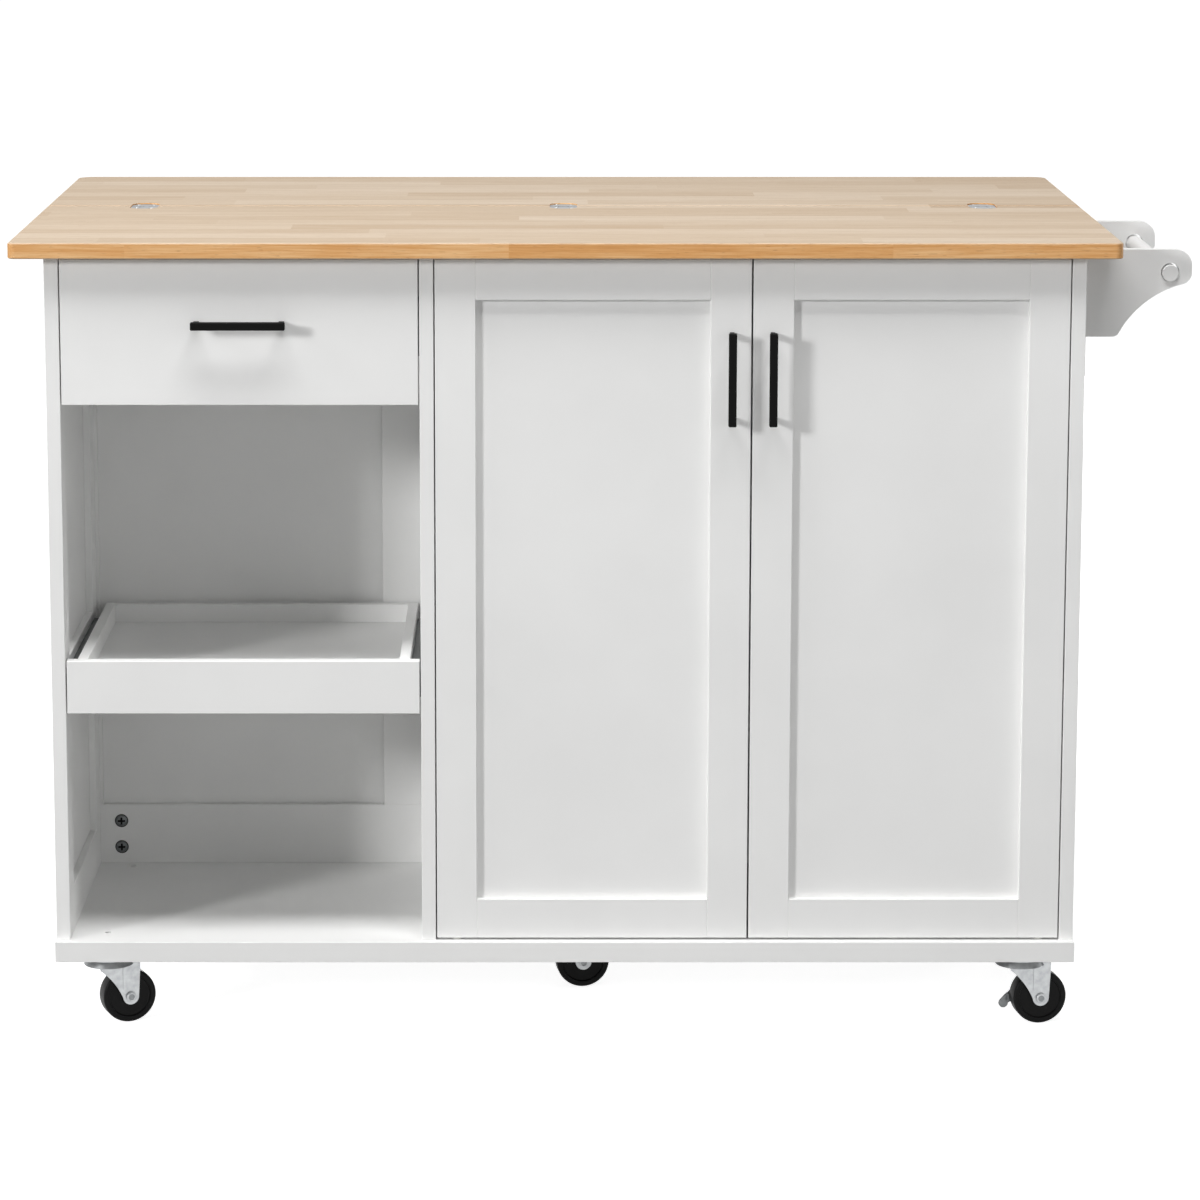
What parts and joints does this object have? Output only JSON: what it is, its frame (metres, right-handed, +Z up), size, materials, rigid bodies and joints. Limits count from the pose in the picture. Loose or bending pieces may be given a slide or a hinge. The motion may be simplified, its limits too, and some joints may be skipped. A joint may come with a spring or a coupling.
{
  "type": "rolling kitchen island",
  "caption": "White kitchen island on swivel casters with a wooden top and folding leaf, a drawer, a pull-out tray, a two-door cupboard and a towel rack.",
  "frame": {"origin": "on the floor under the middle of the whole island's bounding box, with its leaf open", "axes": "+X to the right towards the towel rack, -Y towards the doors and the drawer front, +Z up"},
  "size_m": [1.3424, 0.7714, 0.918],
  "materials": {
    "white_paint": "satin white paint",
    "worktop_wood": "clear lacquer",
    "black_metal": "matt black",
    "bright_steel": "zinc plated",
    "grey_steel": "zinc plated",
    "pale_plastic": "moulded nylon",
    "wheel_rubber": "matt black"
  },
  "bodies": {
    "cabinet": {"bottom_board": "white_paint", "left_side_frame": "white_paint", "left_side_panels": "white_paint", "right_side_frame": "white_paint", "right_side_panels": "white_paint", "divider_panel": "white_paint", "back_frame": "white_paint", "back_panels": "white_paint", "front_top_rails": "white_paint", "fixed_top": "worktop_wood", "flap_hinge_cups_front": "bright_steel", "runner_channels": "grey_steel", "door_pivot_bushes": "pale_plastic", "cupboard_shelf": "white_paint", "shelf_pins": "bright_steel", "towel_arm_front": "white_paint", "towel_arm_rear": "white_paint", "towel_rod": "white_paint", "support_posts": "white_paint", "support_hinge_plates": "bright_steel", "rail_bolts": "grey_steel", "caster_stems": "bright_steel"},
    "flap_links": {"flap_hinge_links": "bright_steel"},
    "leaf": {"leaf_top": "worktop_wood", "flap_hinge_cups_rear": "bright_steel"},
    "drawer": {"drawer_front": "white_paint", "drawer_sides": "white_paint", "drawer_back": "white_paint", "drawer_floor": "white_paint", "drawer_handle": "black_metal", "drawer_runners": "grey_steel"},
    "tray": {"tray_front": "white_paint", "tray_sides": "white_paint", "tray_back": "white_paint", "tray_floor": "white_paint", "tray_runners": "grey_steel"},
    "left_door": {"left_door_frame": "white_paint", "left_door_panel": "white_paint", "left_door_handle": "black_metal", "left_door_pivot_pins": "bright_steel"},
    "right_door": {"right_door_frame": "white_paint", "right_door_panel": "white_paint", "right_door_handle": "black_metal", "right_door_pivot_pins": "bright_steel"},
    "left_support": {"left_leaf_support": "white_paint", "left_support_hinge_leaves": "bright_steel"},
    "right_support": {"right_leaf_support": "white_paint", "right_support_hinge_leaves": "bright_steel"},
    "fork_front_left": {"caster_fork_front_left": "bright_steel"},
    "wheel_front_left": {"caster_wheel_front_left": "wheel_rubber"},
    "fork_front_right": {"caster_fork_front_right": "bright_steel"},
    "wheel_front_right": {"caster_wheel_front_right": "wheel_rubber"},
    "fork_middle": {"caster_fork_middle": "bright_steel"},
    "wheel_middle": {"caster_wheel_middle": "wheel_rubber"},
    "fork_rear_left": {"caster_fork_rear_left": "bright_steel"},
    "wheel_rear_left": {"caster_wheel_rear_left": "wheel_rubber"},
    "fork_rear_right": {"caster_fork_rear_right": "bright_steel"},
    "wheel_rear_right": {"caster_wheel_rear_right": "wheel_rubber"},
    "brake_front_right": {"brake_lever_front_right": "grey_steel"},
    "brake_rear_left": {"brake_lever_rear_left": "grey_steel"}
  },
  "joints": [
    {"name": "door_left_swing", "type": "hinge", "parent": "cabinet", "child": "left_door", "pos_m": [-0.17125, -0.3487, 0.50375], "axis": [0, 0, -1], "range_deg": [0, 90]},
    {"name": "door_right_swing", "type": "hinge", "parent": "cabinet", "child": "right_door", "pos_m": [0.50075, -0.3487, 0.50375], "axis": [0, 0, 1], "range_deg": [0, 110]},
    {"name": "drawer_slide", "type": "slide", "parent": "cabinet", "child": "drawer", "axis": [0, -1, 0], "range_m": [0, 0.22]},
    {"name": "leaf_hinge_at_fixed_top", "type": "hinge", "parent": "cabinet", "child": "flap_links", "pos_m": [-0.04625, 0.02005, 0.9138], "axis": [1, 0, 0], "range_deg": [0, 90]},
    {"name": "leaf_hinge_at_leaf", "type": "hinge", "parent": "flap_links", "child": "leaf", "pos_m": [-0.04625, 0.02895, 0.9138], "axis": [1, 0, 0], "range_deg": [0, 90]},
    {"name": "support_left_swing", "type": "hinge", "parent": "cabinet", "child": "left_support", "pos_m": [-0.57175, 0.0418, 0.8097], "axis": [0, 0, -1], "range_deg": [0, 90]},
    {"name": "support_right_swing", "type": "hinge", "parent": "cabinet", "child": "right_support", "pos_m": [0.47925, 0.0418, 0.8097], "axis": [0, 0, 1], "range_deg": [0, 90]},
    {"name": "tray_slide", "type": "slide", "parent": "cabinet", "child": "tray", "axis": [0, -1, 0], "range_m": [0, 0.22]},
    {"name": "wheel_front_left_swivel", "type": "hinge", "parent": "cabinet", "child": "fork_front_left", "pos_m": [-0.57625, -0.3247, 0.0835], "axis": [0, 0, 1], "continuous": true},
    {"name": "wheel_front_left_roll", "type": "hinge", "parent": "fork_front_left", "child": "wheel_front_left", "pos_m": [-0.55585, -0.31646, 0.0315], "axis": [-0.3746, 0.9272, 0], "continuous": true},
    {"name": "wheel_front_right_swivel", "type": "hinge", "parent": "cabinet", "child": "fork_front_right", "pos_m": [0.48375, -0.3247, 0.0835], "axis": [0, 0, 1], "continuous": true},
    {"name": "wheel_front_right_roll", "type": "hinge", "parent": "fork_front_right", "child": "wheel_front_right", "pos_m": [0.50548, -0.32126, 0.0315], "axis": [-0.1564, 0.9877, 0], "continuous": true},
    {"name": "wheel_front_right_brake", "type": "hinge", "parent": "fork_front_right", "child": "brake_front_right", "pos_m": [0.49758, -0.32251, 0.05], "axis": [-0.1564, 0.9877, 0], "range_deg": [0, 20]},
    {"name": "wheel_middle_swivel", "type": "hinge", "parent": "cabinet", "child": "fork_middle", "pos_m": [-0.04625, -0.1757, 0.0835], "axis": [0, 0, 1], "continuous": true},
    {"name": "wheel_middle_roll", "type": "hinge", "parent": "fork_middle", "child": "wheel_middle", "pos_m": [-0.02446, -0.17264, 0.0315], "axis": [-0.1392, 0.9903, 0], "continuous": true},
    {"name": "wheel_rear_left_swivel", "type": "hinge", "parent": "cabinet", "child": "fork_rear_left", "pos_m": [-0.57625, -0.0267, 0.0835], "axis": [0, 0, 1], "continuous": true},
    {"name": "wheel_rear_left_roll", "type": "hinge", "parent": "fork_rear_left", "child": "wheel_rear_left", "pos_m": [-0.555, -0.02101, 0.0315], "axis": [-0.2588, 0.9659, 0], "continuous": true},
    {"name": "wheel_rear_left_brake", "type": "hinge", "parent": "fork_rear_left", "child": "brake_rear_left", "pos_m": [-0.56273, -0.02308, 0.05], "axis": [-0.2588, 0.9659, 0], "range_deg": [0, 20]},
    {"name": "wheel_rear_right_swivel", "type": "hinge", "parent": "cabinet", "child": "fork_rear_right", "pos_m": [0.48375, -0.0267, 0.0835], "axis": [0, 0, 1], "continuous": true},
    {"name": "wheel_rear_right_roll", "type": "hinge", "parent": "fork_rear_right", "child": "wheel_rear_right", "pos_m": [0.50567, -0.02478, 0.0315], "axis": [-0.0872, 0.9962, 0], "continuous": true}
  ]
}
